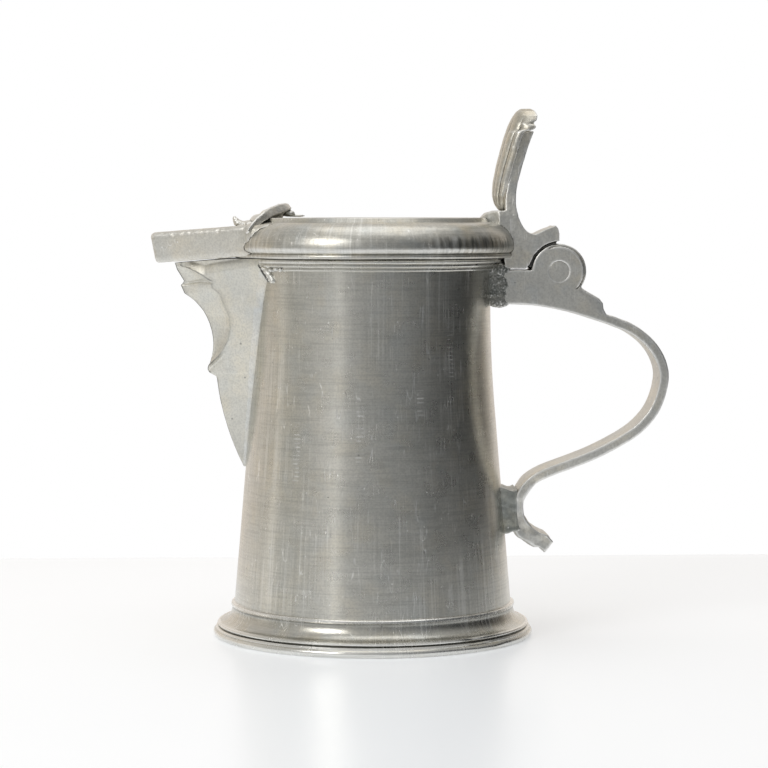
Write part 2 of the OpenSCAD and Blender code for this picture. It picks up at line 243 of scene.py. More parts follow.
def lathe(outline, steps=360, start=0.0, turn=360.0):
    """Points and faces of a closed (radius, height) outline turned about the axis. A part turn has ends."""
    whole = turn >= 360
    columns = steps if whole else steps + 1
    angles = np.radians(start + turn * np.arange(columns) / steps)
    count = len(outline)
    points = [(r * math.cos(a), r * math.sin(a), z) for a in angles for r, z in outline]
    faces = []
    for i in range(steps):
        here, there = i * count, ((i + 1) % columns) * count
        for k in range(count):
            after = (k + 1) % count
            faces.append((here + k, there + k, there + after, here + after))
    if not whole:
        faces.append(tuple(range(count)))
        faces.append(tuple(reversed(range(steps * count, columns * count))))
    return np.array(points), faces


def tube_of_rings(rings):
    """Points and faces of a solid through closed rings that all have the same number of points."""
    count = len(rings[0])
    points = [p for ring in rings for p in ring]
    faces = [tuple(reversed(range(count)))]
    for i in range(len(rings) - 1):
        for k in range(count):
            a, b = i * count + k, i * count + (k + 1) % count
            faces.append((a, b, b + count, a + count))
    faces.append(tuple(range((len(rings) - 1) * count, len(rings) * count)))
    return np.array(points), faces


# ---------------- node tools
class Nodes:
    """Short names for the node calls that the world and the materials repeat."""

    def __init__(self, owner):
        owner.use_nodes = True
        self.tree = owner.node_tree
        self.new = self.tree.nodes.new

    def link(self, source, target):
        if isinstance(source, (int, float)):
            target.default_value = source
        elif isinstance(source, tuple):
            target.default_value = (*source, 1) if len(target.default_value) == 4 else source
        else:
            self.tree.links.new(source, target)

    def math(self, operation, *values):
        node = self.new("ShaderNodeMath")
        node.operation = operation
        for value, socket in zip(values, node.inputs):
            self.link(value, socket)
        return node.outputs[0]

    def times(self, a, b):
        return self.math("MULTIPLY", a, b)

    def vector(self, x, y, z):
        node = self.new("ShaderNodeCombineXYZ")
        for value, socket in zip((x, y, z), node.inputs):
            self.link(value, socket)
        return node.outputs[0]

    def stretched(self, axes, factors):
        """A vector of the axes, each multiplied by its factor."""
        return self.vector(*(self.times(axis, factor) for axis, factor in zip(axes, factors)))

    def noise(self, vector, scale, detail=2.0, distortion=0.0):
        node = self.new("ShaderNodeTexNoise")
        node.inputs["Scale"].default_value = scale
        node.inputs["Detail"].default_value = detail
        node.inputs["Distortion"].default_value = distortion
        self.link(vector, node.inputs["Vector"])
        return node.outputs["Fac"]

    def cells(self, vector, scale):
        node = self.new("ShaderNodeTexVoronoi")
        node.inputs["Scale"].default_value = scale
        self.link(vector, node.inputs["Vector"])
        return node.outputs["Distance"]

    def step(self, value, low, high, to_low=0.0, to_high=1.0):
        """A smooth rise from low to high, or a smooth fall where low is the greater."""
        node = self.new("ShaderNodeMapRange")
        node.interpolation_type = "SMOOTHSTEP"
        self.link(value, node.inputs["Value"])
        ends = {"From Min": low, "From Max": high, "To Min": to_low, "To Max": to_high}
        for socket, number in ends.items():
            self.link(number, node.inputs[socket])
        return node.outputs["Result"]

    def mix(self, share, a, b):
        node = self.new("ShaderNodeMix")
        node.data_type = "RGBA"
        self.link(share, node.inputs[0])
        self.link(a, node.inputs[6])
        self.link(b, node.inputs[7])
        return node.outputs[2]

    def parts(self, vector):
        node = self.new("ShaderNodeSeparateXYZ")
        self.link(vector, node.inputs[0])
        return node.outputs

    def bump(self, height, depth, before=None):
        node = self.new("ShaderNodeBump")
        node.inputs["Strength"].default_value = 1.0
        node.inputs["Distance"].default_value = depth * MM
        self.link(height, node.inputs["Height"])
        if before is not None:
            self.link(before, node.inputs["Normal"])
        return node.outputs["Normal"]


# ---------------- camera, floor and light
TURNED = math.radians(2.5)  # the handle is turned a little away from the camera
# In metres
DISTANCE = 0.98
CAMERA_Z = 0.158
AIM = Vector((0.0043, 0, 0.0945))
FLOOR = ((-0.6, -0.3), (0.4, 0.22))  # its front left and back right corner


def make_camera():
    data = bpy.data.cameras.new("camera")
    data.sensor_width = 36
    data.lens = 121.9
    camera = add_object("camera", data)
    side = Vector((-math.sin(TURNED), -math.cos(TURNED), 0))
    camera.location = Vector((AIM.x, AIM.y, CAMERA_Z)) + side * DISTANCE
    camera.rotation_euler = (AIM - camera.location).to_track_quat("-Z", "Y").to_euler()
    bpy.context.scene.camera = camera


def make_floor():
    (left, front), (right, back) = FLOOR
    mesh = bpy.data.meshes.new("floor")
    corners = [(left, front, 0), (right, front, 0), (right, back, 0), (left, back, 0)]
    mesh.from_pydata(corners, [], [(0, 1, 2, 3)])
    floor = add_object("floor", mesh)
    material = bpy.data.materials.new("pale_floor")
    material.use_nodes = True
    shader = material.node_tree.nodes["Principled BSDF"]
    shader.inputs["Base Color"].default_value = (0.86, 0.89, 0.93, 1)
    shader.inputs["Roughness"].default_value = 0.25
    shader.inputs["IOR"].default_value = 1.25
    shader.inputs["Emission Color"].default_value = (1, 1, 1, 1)
    shader.inputs["Emission Strength"].default_value = 0.26
    mesh.materials.append(material)


def soft_box(name, place, size, power, colour, towards=(0, 0, 0.09)):
    data = bpy.data.lights.new(name, "AREA")
    data.shape = "RECTANGLE"
    data.size, data.size_y = size
    data.energy = power
    data.color = colour
    light = add_object(name, data)
    light.location = place
    light.rotation_euler = (Vector(towards) - light.location).to_track_quat("-Z", "Y").to_euler()
    light.visible_camera = False


# Colour of the studio all round, by bearing in degrees from the camera's side: dim there, dark to the right
# and a white sweep behind
STUDIO = [
    (-180, (0.92, 0.86, 0.80)), (-140, (0.84, 0.78, 0.72)), (-105, (0.62, 0.58, 0.52)),
    (-85, (0.46, 0.46, 0.44)), (-45, (0.50, 0.50, 0.50)), (0, (0.33, 0.34, 0.35)), (30, (0.20, 0.21, 0.22)),
    (60, (0.06, 0.063, 0.067)), (100, (0.02, 0.022, 0.023)), (118, (0.06, 0.057, 0.053)),
    (133, (0.36, 0.33, 0.29)), (150, (0.85, 0.79, 0.73)), (180, (0.92, 0.86, 0.80)),
]
# Light from above and from below: the slopes between which it takes over, how far it does, and its colour
SLOPES = [(0.25, 0.85, 0.8, (0.55, 0.55, 0.54)), (-0.03, -0.3, 0.3, (0.44, 0.44, 0.44))]


def make_world():
    world = bpy.data.worlds.new("studio")
    bpy.context.scene.world = world
    n = Nodes(world)
    n.tree.nodes.clear()
    x, y, z = n.parts(n.new("ShaderNodeTexCoord").outputs["Generated"])
    bearing = n.math("ARCTAN2", x, n.times(y, -1))
    ramp = n.new("ShaderNodeValToRGB")
    stops = ramp.color_ramp.elements
    stops[0].color, stops[1].color = (*STUDIO[0][1], 1), (*STUDIO[-1][1], 1)
    for degrees, colour in STUDIO[1:-1]:
        stops.new((degrees + 180) / 360).color = (*colour, 1)
    n.link(n.math("MULTIPLY_ADD", bearing, 0.5 / math.pi, 0.5), ramp.inputs["Fac"])
    colour = ramp.outputs["Color"]
    for low, high, most, tint in SLOPES:
        colour = n.mix(n.step(z, low, high, 0.0, most), colour, tint)
    around, white = n.new("ShaderNodeBackground"), n.new("ShaderNodeBackground")
    n.link(colour, around.inputs["Color"])
    n.link((1.0, 1.0, 1.0), white.inputs["Color"])
    mix = n.new("ShaderNodeMixShader")
    n.link(n.new("ShaderNodeLightPath").outputs["Is Camera Ray"], mix.inputs["Fac"])
    n.link(around.outputs[0], mix.inputs[1])
    n.link(white.outputs[0], mix.inputs[2])
    n.link(mix.outputs[0], n.new("ShaderNodeOutputWorld").inputs["Surface"])


def make_lights():
    soft_box("key", (-0.75, -0.85, 0.75), (0.5, 0.5), 3.5, (1, 0.99, 0.97))
    soft_box("top", (0.05, 0.0, 1.1), (0.9, 0.9), 2.3, (1, 1, 1))
    # Two low cards that draw the upright streaks on the left half of the drum
    soft_box("front_card", (-0.56, -0.83, 0.02), (0.12, 0.12), 0.06, (1, 0.99, 0.95), (0, 0, 0.07))
    soft_box("side_card", (-0.99, 0.14, 0.02), (0.12, 0.12), 0.04, (1, 0.97, 0.92), (0, 0, 0.07))


# ---------------- materials
# The second colour darkens pits with grime, and creases and gaps with grime and painted shade
BRIGHT, GRIME_AND_SHADE = (0.92, 0.91, 0.88), (0.09, 0.09, 0.08)
WARMER, COOLER = (1.06, 0.99, 0.86), (0.98, 1.03, 1.1)  # how far the clouds shift a tone
# Tilt and scale of the scratches in each direction
SCRATCHES = [((0.25, 0.1, 0), 380), ((0.9, 0.4, 0.3), 300), ((-0.6, 0.7, 1.1), 430), ((1.5, -0.2, 0.5), 340)]
# Bearing in degrees, lowest and highest z of each row of marks that the tool left on the drum
CHATTER = [(-53, 97, 121), (-98, 68, 90), (-70, 84, 96), (-128, 60, 84)]
# Where the painted highlights and shade of hammer dents lie on the lid: the bearing, and how far to each
# side and between which heights, each given as where the marks begin and where they are full
HAMMERED_AT, HAMMERED_SPREAD = math.radians(-42), (0.5, 0.33)
HAMMERED_LOW, HAMMERED_HIGH = (143.6, 145.2), (151.2, 149.2)


def tinted(colour, factors):
    return tuple(a * b for a, b in zip(colour, factors))


def darker(colour, share):
    return tinted(colour, (share, share, share))


def scratches(n, place, tilt, scale):
    """Thin scratches in one direction, along the places where a stretched noise crosses its middle."""
    turn = n.new("ShaderNodeMapping")
    turn.inputs["Rotation"].default_value = tilt
    turn.inputs["Scale"].default_value = (scale, scale, scale * 0.03)
    n.link(place, turn.inputs["Vector"])
    wandering = n.noise(turn.outputs[0], 1.0, 0.0)
    line = n.step(n.math("ABSOLUTE", n.math("SUBTRACT", wandering, 0.5)), 0.012, 0.0)
    patches = n.step(n.noise(place, scale * 0.35), 0.56, 0.64)
    return n.times(line, patches)


def chatter(n, place, axes, at, low, high):
    """A short upright row of level ticks, left by a tool that chattered."""
    width, pitch, fade = 0.022, 1.5, 3.0
    bearing, _, z = axes
    off = n.math("ABSOLUTE", n.math("SUBTRACT", bearing, math.radians(at)))
    row = n.step(off, width * 1.8, width)
    start = n.step(z, low * MM, (low + fade) * MM)
    stop = n.step(z, high * MM, (high - fade) * MM)
    ticks = n.step(n.math("SINE", n.times(z, 2 * math.pi / (pitch * MM))), 0.1, 0.9)
    ticks = n.times(n.times(row, ticks), n.times(start, stop))
    return n.times(ticks, n.step(n.noise(place, 260), 0.38, 0.6))


def two_tones(n, place, light, dark, mottled):
    """Patches of a light and a dark tone, with warmer and cooler clouds and fine dark specks."""
    tone = n.mix(n.step(n.noise(place, 60, 4.0, 0.2), 0.25, 0.75), dark, light)
    warmth = n.times(n.step(n.noise(place, 85, 3.0), 0.45, 0.7), mottled)
    tone = n.mix(warmth, tone, tinted(light, WARMER))
    coolness = n.times(n.step(n.noise(place, 110, 3.0, 0.1), 0.5, 0.72), mottled)
    tone = n.mix(coolness, tone, tinted(dark, COOLER))
    specks = n.step(n.noise(place, 1400, 1.0), 0.35, 0.7)
    return n.mix(n.times(specks, 0.25), tone, darker(dark, 0.55))


def small_pits(n, place, pitted):
    pits = n.step(n.cells(place, 230), 0.12, 0.05)
    pits = n.times(pits, n.step(n.noise(place, 90), 0.58, 0.62))
    return n.times(pits, pitted)


def small_cuts(n, place, axes, turned, scratched):
    """Scratches in every direction, nicks and, on turned pieces, the marks of the tool."""
    nicks = n.step(n.cells(place, 380), 0.16, 0.08)
    cuts = n.times(nicks, n.step(n.noise(place, 150, 2.0), 0.56, 0.62))
    for tilt, scale in SCRATCHES:
        cuts = n.math("MAXIMUM", cuts, scratches(n, place, tilt, scale))
    if turned:
        for row in CHATTER:
            cuts = n.math("MAXIMUM", cuts, n.times(chatter(n, place, axes, *row), 0.9))
    return n.times(cuts, scratched)


def hammer_glints_and_shade(n, tone, axes, dark, hammer_shading):
    """Dark and bright upright strokes on one stretch of the lid's band: painted shade and painted highlights
    of hammer dents.
    """
    bearing, _, z = axes
    strikes = n.noise(n.stretched(axes, (30, 0, 110)), 1.0, 1.0)
    off = n.math("ABSOLUTE", n.math("SUBTRACT", bearing, HAMMERED_AT))
    above = n.step(z, *(v * MM for v in HAMMERED_LOW))
    below = n.step(z, *(v * MM for v in HAMMERED_HIGH))
    where = n.times(n.times(above, below), n.step(off, *HAMMERED_SPREAD))
    where = n.times(where, hammer_shading)
    # Painted shade in the dark strokes, painted highlights in the bright ones
    tone = n.mix(n.times(n.step(strikes, 0.48, 0.58), where), tone, darker(dark, 0.2))
    return n.mix(n.times(n.step(strikes, 0.44, 0.34), where), tone, BRIGHT)


def lathe_lines(n, tone, gloss, normal, place, axes, dark, depth):
    """Fine grooves and broad rings round the axis, and upright bright and dark streaks that paint reflection
    streaks, a little rougher along the bright ones.
    """
    fine = n.noise(n.stretched(axes, (3, 1500, 1500)), 1.0, 2.0)
    normal = n.bump(fine, depth, normal)
    tone = n.mix(n.step(fine, 0.42, 0.72, 0.0, 0.32), tone, darker(dark, 0.6))
    broad = n.noise(n.stretched(axes, (1.5, 0, 330)), 1.0, 2.0)
    tone = n.mix(n.step(broad, 0.5, 0.7, 0.0, 0.08), tone, BRIGHT)
    # Painted reflection streaks: bright and dark upright streaks in the colour, the bright ones also a
    # little rougher
    streak_noise = n.noise(n.stretched(axes, (75, 30, 12)), 1.0, 3.0)
    streak_patches = n.step(n.noise(place, 38, 2.0), 0.40, 0.65)
    streaks = n.times(n.step(streak_noise, 0.52, 0.72), streak_patches)
    tone = n.mix(n.times(streaks, 0.4), tone, BRIGHT)
    dark_streaks = n.times(n.step(streak_noise, 0.48, 0.3), streak_patches)
    tone = n.mix(n.times(dark_streaks, 0.25), tone, darker(dark, 0.5))
    return tone, n.math("ADD", gloss, n.times(streaks, 0.08)), normal


def pewter(name, light, dark, rough, lines=0.0, grain=0.02, scratched=1.0, anisotropy=0.0, pitted=0.5,
           mottled=0.5, hammer_shading=0.0):
    """Worn pewter in two tones, with a fine grain, scratches, pits and, where asked for, lathe lines."""
    material = bpy.data.materials.new(name)
    n = Nodes(material)
    place = n.new("ShaderNodeTexCoord").outputs["Object"]
    x, y, z = n.parts(place)
    radius = n.math("SQRT", n.math("ADD", n.times(x, x), n.times(y, y)))
    axes = (n.math("ARCTAN2", y, x), radius, z)

    tone = two_tones(n, place, light, dark, mottled)
    pits = small_pits(n, place, pitted)
    tone = n.mix(pits, tone, GRIME_AND_SHADE)
    cuts = small_cuts(n, place, axes, lines > 0, scratched)
    tone = n.mix(n.times(cuts, 0.75), tone, BRIGHT)
    if hammer_shading:
        tone = hammer_glints_and_shade(n, tone, axes, dark, hammer_shading)
    relief = n.new("ShaderNodeAttribute")
    relief.attribute_name = "hollow"
    hollow = relief.outputs["Fac"]
    # Lighter where proud, for bright worn edges; darker where hollow, for grime and painted shade in creases
    # and painted shade in the gaps between pieces
    tone = n.mix(n.step(n.times(hollow, -1), 0.12, 0.9, 0.0, 0.7), tone, BRIGHT)
    tone = n.mix(n.step(hollow, 0.12, 1.1, 0.0, 0.85), tone, GRIME_AND_SHADE)

    gloss = n.step(n.noise(place, 160, 2.0), 0.3, 0.7, rough - 0.01, rough + 0.015)
    normal = n.bump(n.noise(place, 800, 3.0), grain)
    if lines:
        tone, gloss, normal = lathe_lines(n, tone, gloss, normal, place, axes, dark, lines)
    normal = n.bump(n.math("SUBTRACT", 1.0, cuts), 0.03, normal)
    normal = n.bump(n.math("SUBTRACT", 1.0, pits), 0.08, normal)
    shader = n.tree.nodes["Principled BSDF"]
    n.link(tone, shader.inputs["Base Color"])
    n.link(gloss, shader.inputs["Roughness"])
    n.link(normal, shader.inputs["Normal"])
    shader.inputs["Metallic"].default_value = 1.0
    shader.inputs["Anisotropic"].default_value = anisotropy
    shader.inputs["Anisotropic Rotation"].default_value = 0.25
    return material


MATERIALS = {}


def make_materials():
    light, dark = (0.68, 0.66, 0.60), (0.61, 0.60, 0.55)
    MATERIALS["turned"] = pewter(
        "turned_pewter", light, dark, 0.28, lines=0.006, grain=0.005, anisotropy=0.4, mottled=0.3)
    MATERIALS["lid"] = pewter(
        "lid_pewter", light, dark, 0.33, lines=0.005, anisotropy=0.2, mottled=0.6, hammer_shading=0.6)
    MATERIALS["foot"] = pewter(
        "worn_foot_pewter", light, dark, 0.26, lines=0.005, grain=0.01, anisotropy=0.2)
    MATERIALS["cast"] = pewter(
        "cast_pewter", (0.78, 0.76, 0.70), (0.62, 0.61, 0.57), 0.42, grain=0.05, pitted=0.8)
    MATERIALS["beak"] = pewter(
        "pale_cast_pewter", (0.80, 0.78, 0.71), (0.68, 0.67, 0.62), 0.48, grain=0.04, scratched=0.4,
        mottled=0.35)
    MATERIALS["run"] = pewter(
        "bright_solder", (0.84, 0.83, 0.79), (0.68, 0.68, 0.65), 0.42, grain=0.05, scratched=0.4)
    MATERIALS["cover"] = pewter(
        "cover_pewter", (0.76, 0.73, 0.66), (0.66, 0.64, 0.58), 0.46, grain=0.04, mottled=0.35)
    MATERIALS["thumb"] = pewter("thumb_pewter", (0.74, 0.70, 0.62), (0.54, 0.52, 0.46), 0.38, grain=0.05)
    MATERIALS["leaf"] = pewter("leaf_pewter", (0.92, 0.90, 0.85), (0.72, 0.71, 0.66), 0.40, grain=0.06)
    # A near black material for lumps that paint the shade in a crack
    MATERIALS["crack_shade"] = pewter(
        "painted_crack_shade", (0.10, 0.10, 0.09), (0.04, 0.04, 0.04), 0.7, grain=0.2, scratched=0.0)
    MATERIALS["pad"] = pewter("pad_solder", (0.50, 0.50, 0.45), (0.28, 0.29, 0.27), 0.40, grain=0.10)
    MATERIALS["solder"] = pewter(
        "dull_solder", (0.44, 0.43, 0.40), (0.15, 0.16, 0.15), 0.5, grain=0.3, pitted=1.0)


# ---------------- the drum and its turned rings
def drum_side(grow, low, high, step=1.6):
    levels = np.linspace(low, high, int((high - low) / step) + 1)
    return [(drum_r(z) + grow, z) for z in levels]


def turned_piece(name, outline, steps=360, start=0.0, turn=360.0, sharp=30):
    points, faces = lathe(outline, steps, start, turn)
    return build(name, points, faces, sharp)


def strainer_cutters():
    """The drills of the strainer behind the beak, as one mesh."""
    rows, pitch, radius, first_z, sides = 5, 6.5, 1.8, 105.0, 24
    points, faces = [], []
    for row in range(rows):
        z = first_z + row * pitch
        for hole in range(row + 1):
            bearing = math.pi + math.asin((hole - row / 2) * pitch / drum_r(z))
            out = np.array([math.cos(bearing), math.sin(bearing), 0])
            across = np.array([-out[1], out[0], 0])
            start = len(points)
            for depth in (WAIST_R - 6, WAIST_R + 6):
                for k in range(sides):
                    a = 2 * math.pi * k / sides
                    rim = radius * (across * math.cos(a) + np.array([0, 0, math.sin(a)]))
                    points.append(out * depth + np.array([0, 0, z]) + rim)
            for k in range(sides):
                a, b = start + k, start + (k + 1) % sides
                faces.append((a, b, b + sides, a + sides))
            faces.append(tuple(range(start + sides - 1, start - 1, -1)))
            faces.append(tuple(range(start + sides, start + 2 * sides)))
    return build("strainer_drills", points, faces)


def make_drum():
    low = DRUM_LOW[2]
    outline = drum_side(0, low, MOUTH_Z) + list(reversed(drum_side(-WALL, low, MOUTH_Z)))
    drum = turned_piece("drum_skin", outline)
    uneven(drum, (24, 0.09, 1), (9, 0.02, 2))
    cut(drum, strainer_cutters())
    finish_mesh(drum.data, 30)
    dress(drum, "vessel", "turned_pewter", "turned", "drum")


def make_foot():
    r, on_drum = FOOT_R, drum_r(12)
    inner = drum_r(DRUM_LOW[2]) - WALL - 1.4
    outline = (
        [(r - 3.2, 0), (r - 1.4, 0)]
        + arc((r - 1.45, 1.45), 1.35, 1.45, -80, 60, 8)
        + [(r - 0.95, 2.85), (r - 0.9, 3.1), (r - 1.3, 3.7), (r - 2.1, 3.8), (r - 2.3, 4.05)]
        + [(r - 1.75, 4.35), (r - 1.6, 4.75), (r - 1.9, 5.2), (r - 2.6, 5.45)]
        + arc((r - 2.6, 11.2), 4.75, 5.7, 267, 186, 14)
        + [(r - 7.25, 11.2), (on_drum + 1.05, 11.3), (on_drum + 1.25, 11.7), (on_drum + 1.15, 12.3)]
        + [(on_drum + 0.75, 12.65), (on_drum + 0.2, 12.75), (drum_r(12.9) + 0.02, 12.9)]
        + [(drum_r(5), 5), (inner, 5), (inner, 3), (r - 5.4, 3), (r - 3.6, 1.8)]
    )
    foot = turned_piece("foot_moulding", dense(outline, 1.2), steps=480)
    co = coordinates(foot)
    bearing = np.degrees(np.arctan2(co[:, 1], co[:, 0]))
    radius = np.hypot(co[:, 0], co[:, 1])
    # A knock in the rim, towards the front right, and a shallow one beside it
    for at, width, depth, z in ((-52, 5.5, 1.1, 4.2), (-44, 4.0, 0.5, 3.0), (-128, 7, 0.35, 4.0)):
        push = depth * bell(bearing - at, width) * bell(co[:, 2] - z, 1.6)
        push *= rise(radius, r - 6, r - 2)
        co[:, 0] -= co[:, 0] / radius * push
        co[:, 1] -= co[:, 1] / radius * push
        co[:, 2] -= push * 0.35
    set_coordinates(foot, co)
    uneven(foot, (18, 0.14, 3), (5, 0.05, 4))
    co = coordinates(foot)
    co[:, 2] = np.maximum(co[:, 2], 0)
    set_coordinates(foot, co)
    wear_and_shade(foot, 0.2, 5)
    dress(foot, "vessel", "turned_pewter", "foot", "foot_ring")


def make_mouth_ring():
    r, z = drum_r(MOUTH_Z), MOUTH_Z
    open_half = 28.6
    outline = (
        [(r - 0.3, z - 4.5), (r + 0.4, z - 4.3), (r + 0.8, z - 3.9), (r + 0.8, z - 3.4), (r + 1.2, z - 3.1)]
        + [(r + 2.1, z - 2.9), (r + 2.5, z - 2.5), (r + 2.5, z - 1.9), (r + 2.9, z - 1.7)]
        + arc((r + 3.5, z - 0.85), 0.85, 0.8, -80, 80, 6)
        + [(r + 3.2, z), (r - 0.3, z)]
    )
    ring = turned_piece("mouth_moulding", outline, 320, 180 + open_half, 360 - 2 * open_half)
    uneven(ring, (14, 0.12, 5), (4, 0.04, 6))
    wear_and_shade(ring, 0.4, 4)
    dress(ring, "vessel", "turned_pewter", "turned", "mouth_ring")


def make_lid():
    shoulder_w, shoulder_h, platform_h, thick = 9.7, 9.3, 1.7, 1.8
    shoulder_z = LID_Z + 3.8
    top = LID_TOP[2]
    platform_r = LID_R - shoulder_w - 0.3
    outline = (
        [(LID_R - 3.2, LID_Z), (LID_R - 1.5, LID_Z)]
        + arc((LID_R - 1.6, LID_Z + 0.8), 0.75, 0.8, -70, 80, 7)
        + [(LID_R - 1.35, LID_Z + 1.75), (LID_R - 0.8, LID_Z + 2.1), (LID_R - 0.25, LID_Z + 2.9)]
        + arc((LID_R - shoulder_w, shoulder_z), shoulder_w, shoulder_h, 0, 88, 26)
        + [(platform_r + 0.35, top - platform_h + 0.05), (platform_r + 0.2, top - platform_h + 0.25)]
        + [(platform_r - 0.35, top - 0.45), (platform_r - 0.6, top - 0.12), (platform_r - 1.0, top)]
        + [(0.02, top), (0.02, top - thick), (platform_r - 2, top - thick)]
        + arc((LID_R - shoulder_w, shoulder_z), shoulder_w - thick, shoulder_h - thick, 90, 0, 14)
    )
    lid = turned_piece("lid_shell_worn", dense(outline, 1.3), steps=480)
    co, out = surface(lid)
    bearing = np.degrees(np.arctan2(co[:, 1], co[:, 0]))
    # Upright hammer marks on the band towards the front right
    marks_at, marks_z = -52, 147.2
    marks = np.cos(np.radians(bearing * 112 + 150 * np.sin(np.radians(bearing * 9))))
    marks *= 0.6 + 0.6 * waves(co, 6, 62)
    where = bell(bearing - marks_at, 20) * bell(co[:, 2] - marks_z, 2.4)
    co += out * (marks * where * 0.2)[:, None]
    co += out * (waves(co, 2.2, 63) * 0.06 * bell(bearing + 60, 40))[:, None]
    set_coordinates(lid, co)
    uneven(lid, (20, 0.16, 7), (7, 0.05, 8))
    wear_and_shade(lid, 0.4, 4)
    dress(lid, "lid", "turned_pewter", "lid", "lid_shell")


# ---------------- the cast pieces
# Painted shade put in the gaps between pieces, as extra hollowness
GAP_SHADE = 3.0  # how hollow a gap between two pieces counts


def from_hinge(co):
    """Distance of each point from the hinge's axis."""
    return np.hypot(co[:, 0] - HINGE[0], co[:, 2] - HINGE[2])


def make_handle():
    handle = cast_from("handle", "strap_handle", 0.35, 3)
    co = coordinates(handle)
    away = from_hinge(co)
    angle = np.degrees(np.arctan2(co[:, 2] - HINGE[2], co[:, 0] - HINGE[0]))
    # A lowered rim round the outer side of each cheek
    rim = rise(away, 9.15, 9.5) * rise(np.abs(co[:, 1]), 7.5, 8.5)
    rim *= rise(angle, -45, -30) * rise(angle, 115, 100)
    rim += bell(away - 9.3, 0.25) * (rim > 0) * 0.6
    co[:, 1] -= np.sign(co[:, 1]) * rim * 0.5
    set_coordinates(handle, co)
    uneven(handle, (16, 0.1, 11), (3.5, 0.06, 12), (1.2, 0.03, 27))
    # Dents and file marks where the strap bends down to the drum
    co, out = surface(handle)
    low = rise(co[:, 2], 62, 54) * rise(co[:, 0], 72, 64)
    co += out * (waves(co, 4.5, 51) * 0.55 * low)[:, None]
    set_coordinates(handle, co)
    co, out = surface(handle)
    away = from_hinge(co)
    # Painted shade in the gaps towards the lid's bracket: the block's top and the outer side of the cheeks
    facing = (out[:, 2] > 0.6) & (co[:, 0] < 62) & (co[:, 0] > 47) & (co[:, 2] > 136)
    round_gap = (np.abs(out[:, 1]) < 0.5) & (away < 10.6) & (away > 9.6)
    round_gap &= (co[:, 0] < 72) & (co[:, 2] > 138)
    wear_and_shade(handle, crack_shade=GAP_SHADE * (facing | round_gap))
    dress(handle, "vessel", "cast_pewter", "cast", "handle")


def make_plugs():
    """The two discs that close the pin hole, just proud of the eased edge round them."""
    radius, thick, face = 3.9, 1.2, 8.94
    plugs = (("pin_plug_near", "pin_plug_front", -1), ("pin_plug_far", "pin_plug_rear", 1))
    for node, name, side in plugs:
        outline = [(0.05, 0), (radius - 0.5, 0), (radius - 0.4, thick - 0.12), (radius, thick - 0.12)]
        outline += [(radius - 0.12, thick), (1.2, thick + 0.03), (0.05, thick + 0.04)]
        points, faces = lathe(outline, 72)
        height = points[:, 2].copy()
        points[:, 2] = HINGE[2] + points[:, 1] - 0.3
        points[:, 1] = side * (face - thick + height)
        points[:, 0] += HINGE[0]
        if side < 0:
            faces = [tuple(reversed(f)) for f in faces]
        plug = build(name, points, faces, 30)
        dress(plug, "vessel", "cast_pewter", "cast", node)


def make_bracket():
    bracket = cast_from("hinge_bracket", "lid_bracket", 0.3, 4)
    uneven(bracket, (9, 0.14, 13), (2.5, 0.09, 14), (1.0, 0.05, 26))
    co, out = surface(bracket)
    # Painted shade in the gap inside the hinge and under the bracket
    inside = (from_hinge(co) < 11.5) & (np.abs(out[:, 1]) < 0.6)
    under = (out[:, 2] < -0.6) & (co[:, 2] < 139.2)
    wear_and_shade(bracket, crack_shade=GAP_SHADE * (inside | under))
    dress(bracket, "lid", "cast_pewter", "cast", "hinge_bracket")


# Height, front, back and half-width of the thumbpiece
THUMB = [
    (159.9, 47.6, 49.5, 1.6), (160.6, 46.9, 49.5, 3.0), (162.4, 45.9, 49.4, 4.4), (165.6, 45.1, 49.6, 6),
    (170.5, 45.4, 50.7, 7.4), (176.2, 46.5, 52.2, 8.4), (181.8, 48, 53.8, 9.1), (186.6, 49.3, 55.2, 9.6),
    (189.2, 50.2, 56.2, 9.7), (189.8, 50.4, 59.5, 9.7), (190.6, 50.7, 60.6, 9.6), (191.6, 51, 60.5, 9.5),
    (192.3, 51.3, 60.1, 9.3), (193.2, 51.7, 60.9, 9), (195.2, 52.7, 61.3, 7.8), (197, 54, 60.6, 5.6),
    (198, 55.6, 59.2, 2.6),
]


def make_thumbpiece():
    table = np.array(THUMB)
    steps, rings = 96, []
    for z in np.linspace(THUMB[0][0], THUMB[-1][0], 150):
        front, back, half = (np.interp(z, table[:, 0], table[:, k]) for k in (1, 2, 3))
        angles = np.radians(np.linspace(-90, 90, steps))
        rings.append([(back - (back - front) * math.cos(a), half * math.sin(a), z) for a in angles])
    points, faces = tube_of_rings(rings)
    body = build("thumb_body", points, faces)
    thumb = remeshed(body, "fluted_thumbpiece", 0.22, 8)
    co, out = surface(thumb)
    front, back, half = (np.interp(co[:, 2], table[:, 0], table[:, k]) for k in (1, 2, 3))
    angle = np.arctan2(co[:, 1] / half, (back - co[:, 0]) / (back - front))
    # Five round ribs with narrow valleys, which run out under the rounded top
    rib = np.sqrt(np.abs(np.cos(5 * angle))) - 0.75
    forward = np.clip(-out[:, 0] * 2.2 + 0.6, 0, 1) * rise(co[:, 0], back, back - 0.8)
    fluted = rise(co[:, 2], 195.5, 190.5) * rise(co[:, 2], 160.5, 163.5)
    co += out * (0.75 * rib * forward * fluted)[:, None]
    # A short cross groove over the curl at the back
    co -= out * (0.5 * bell(co[:, 2] - 192.4, 0.7) * rise(co[:, 0], 56, 59))[:, None]
    set_coordinates(thumb, co)
    uneven(thumb, (6, 0.07, 15), (1.5, 0.035, 16))
    wear_and_shade(thumb, 0.10, 8)
    dress(thumb, "lid", "cast_pewter", "thumb", "thumbpiece")


